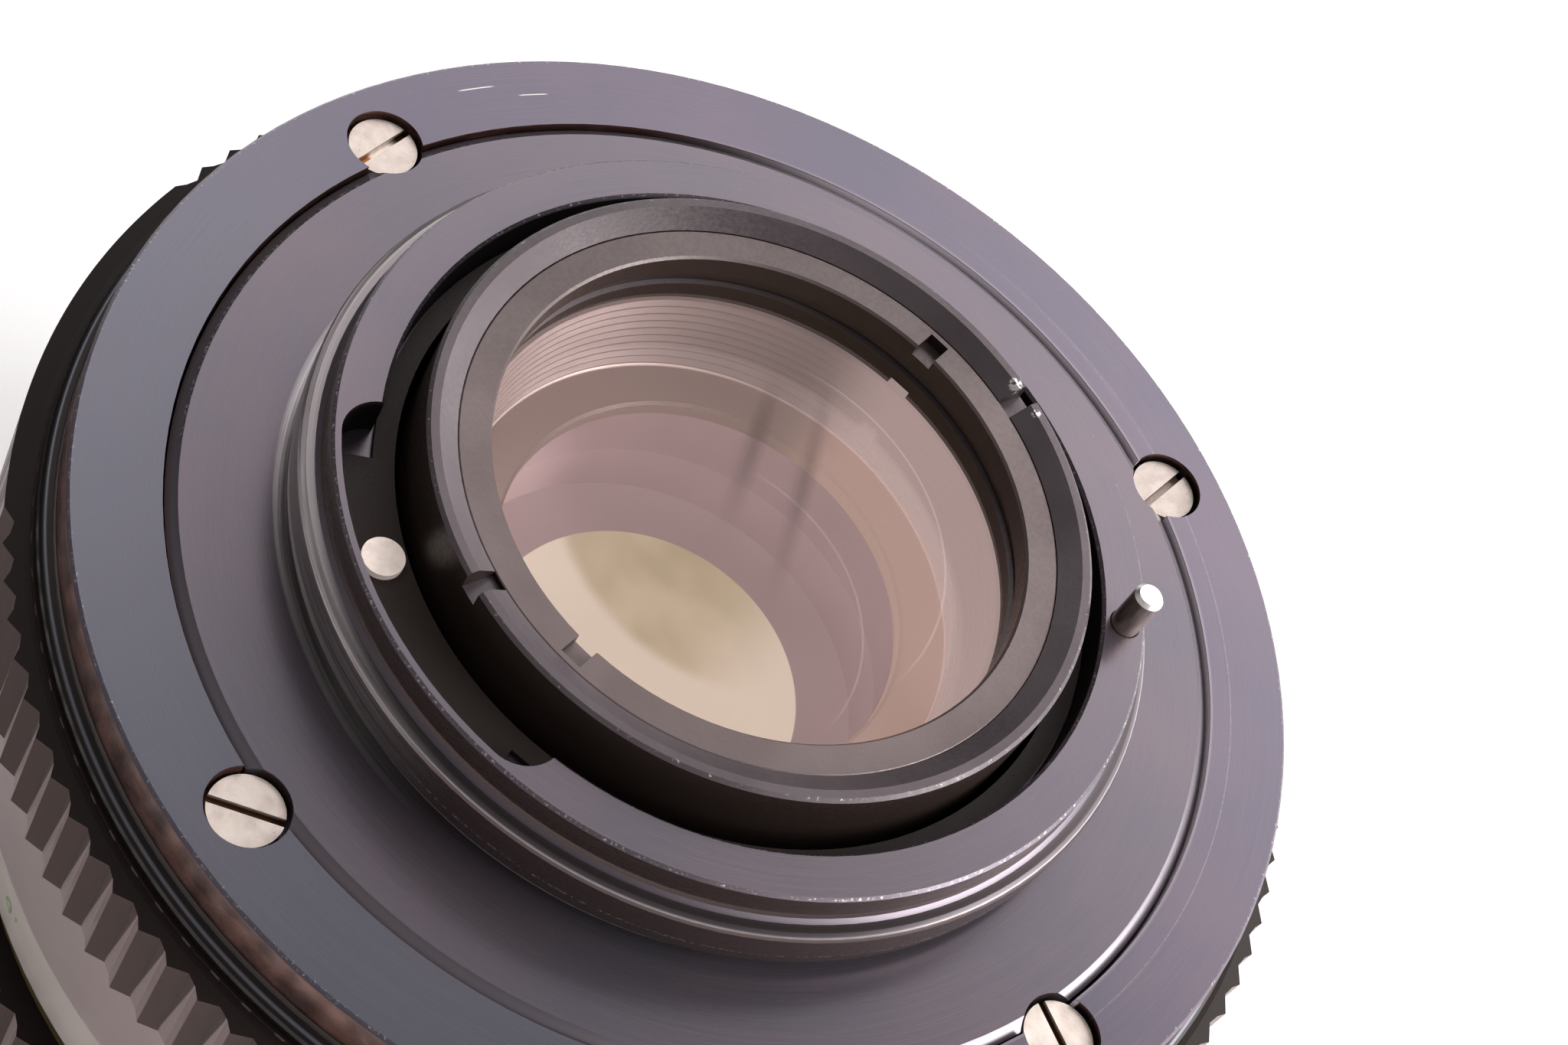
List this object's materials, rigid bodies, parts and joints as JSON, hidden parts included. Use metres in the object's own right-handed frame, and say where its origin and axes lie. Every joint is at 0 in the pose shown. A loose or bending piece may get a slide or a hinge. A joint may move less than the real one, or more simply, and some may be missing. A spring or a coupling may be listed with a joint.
{
  "type": "camera lens",
  "caption": "Manual-focus interchangeable camera lens seen mount end up, with ribbed aperture and focus rings, sliding lens block, iris and aperture pin.",
  "frame": {"origin": "middle of the front rim, on the surface the lens stands on", "axes": "+Z is the optical axis towards the camera mount; the aperture pin lies towards +X, the rivet towards -X -Y"},
  "size_m": [0.0652, 0.0652, 0.0539],
  "materials": {
    "anodised": "satin blue-grey black-anodised",
    "cell_black": "semi-gloss black",
    "matte_black": "matte black",
    "ring_black": "satin black",
    "silver": "brushed satin",
    "steel": "turned bright",
    "spring": "spring wire",
    "brass": "turned",
    "blade": "blued sheet",
    "glass": "coated, pink-mauve"
  },
  "bodies": {
    "barrel": {"rear_cover_ring": "anodised", "mount_plate": "anodised", "mount_screws": "steel", "light_baffle": "matte_black", "baffle_rivet": "steel", "main_barrel": "ring_black", "click_ball": "steel", "click_spring": "spring", "index_ring": "silver", "index_set_screws": "steel", "seal_ring": "ring_black", "filter_ring": "ring_black", "pin_housing": "brass", "pin_spring": "spring"},
    "aperture_pin": {"aperture_pin": "steel"},
    "aperture_ring": {"aperture_ring": "ring_black", "aperture_scale_ring": "silver", "aperture_fork": "brass"},
    "focus_ring": {"focus_ring": "ring_black", "distance_scale_ring": "silver", "focus_cam_sleeve": "brass"},
    "lens_block": {"inner_barrel": "silver", "focus_rollers": "brass", "rear_cell": "cell_black", "rear_retaining_ring": "cell_black", "rear_spacer": "matte_black", "rear_element": "glass", "baffle_ring": "matte_black", "rear_stop_ring": "matte_black", "rear_inner_element": "glass", "rear_middle_element": "glass", "iris_housing": "matte_black", "front_cell": "matte_black", "front_inner_element": "glass", "front_spacer": "matte_black", "front_element": "glass", "front_retaining_ring": "matte_black", "name_ring": "matte_black"},
    "iris_drive": {"iris_drive_ring": "brass"},
    "blade_1": {"iris_blade_1": "blade"},
    "blade_2": {"iris_blade_2": "blade"},
    "blade_3": {"iris_blade_3": "blade"},
    "blade_4": {"iris_blade_4": "blade"},
    "blade_5": {"iris_blade_5": "blade"},
    "blade_6": {"iris_blade_6": "blade"}
  },
  "joints": [
    {"name": "aperture_turn", "type": "hinge", "parent": "barrel", "child": "aperture_ring", "pos_m": [0, 0, 0.035], "axis": [0, 0, 1], "range_deg": [0, 45]},
    {"name": "focus_turn", "type": "hinge", "parent": "barrel", "child": "focus_ring", "pos_m": [0, 0, 0.016], "axis": [0, 0, 1], "range_deg": [0, 150]},
    {"name": "focus_slide", "type": "slide", "parent": "barrel", "child": "lens_block", "axis": [0, 0, -1], "range_m": [0, 0.006]},
    {"name": "pin_slide", "type": "slide", "parent": "barrel", "child": "aperture_pin", "axis": [0, 0, -1], "range_m": [0, 0.0022], "stiffness_N_per_m": 250, "springref_m": -0.002, "deforming": ["pin_spring"]},
    {"name": "iris_drive_turn", "type": "hinge", "parent": "lens_block", "child": "iris_drive", "pos_m": [0, 0, 0.0306], "axis": [0, 0, 1], "range_deg": [0, 45]},
    {"name": "blade_1_swing", "type": "hinge", "parent": "lens_block", "child": "blade_1", "pos_m": [0.0176, 0, 0.029], "axis": [0, 0, 1], "range_deg": [0, 31]},
    {"name": "blade_2_swing", "type": "hinge", "parent": "lens_block", "child": "blade_2", "pos_m": [0.0088, 0.01524, 0.029], "axis": [0, 0, 1], "range_deg": [0, 31]},
    {"name": "blade_3_swing", "type": "hinge", "parent": "lens_block", "child": "blade_3", "pos_m": [-0.0088, 0.01524, 0.029], "axis": [0, 0, 1], "range_deg": [0, 31]},
    {"name": "blade_4_swing", "type": "hinge", "parent": "lens_block", "child": "blade_4", "pos_m": [-0.0176, 0, 0.029], "axis": [0, 0, 1], "range_deg": [0, 31]},
    {"name": "blade_5_swing", "type": "hinge", "parent": "lens_block", "child": "blade_5", "pos_m": [-0.0088, -0.01524, 0.029], "axis": [0, 0, 1], "range_deg": [0, 31]},
    {"name": "blade_6_swing", "type": "hinge", "parent": "lens_block", "child": "blade_6", "pos_m": [0.0088, -0.01524, 0.029], "axis": [0, 0, 1], "range_deg": [0, 31]}
  ],
  "couplings": [
    {"joint": "focus_slide", "follows": "focus_turn", "m_per_rad": 0.0022918},
    {"joint": "iris_drive_turn", "follows": "aperture_turn", "ratio": 1},
    {"joint": "blade_1_swing", "follows": "aperture_turn", "ratio": 0.68889},
    {"joint": "blade_2_swing", "follows": "aperture_turn", "ratio": 0.68889},
    {"joint": "blade_3_swing", "follows": "aperture_turn", "ratio": 0.68889},
    {"joint": "blade_4_swing", "follows": "aperture_turn", "ratio": 0.68889},
    {"joint": "blade_5_swing", "follows": "aperture_turn", "ratio": 0.68889},
    {"joint": "blade_6_swing", "follows": "aperture_turn", "ratio": 0.68889}
  ]
}
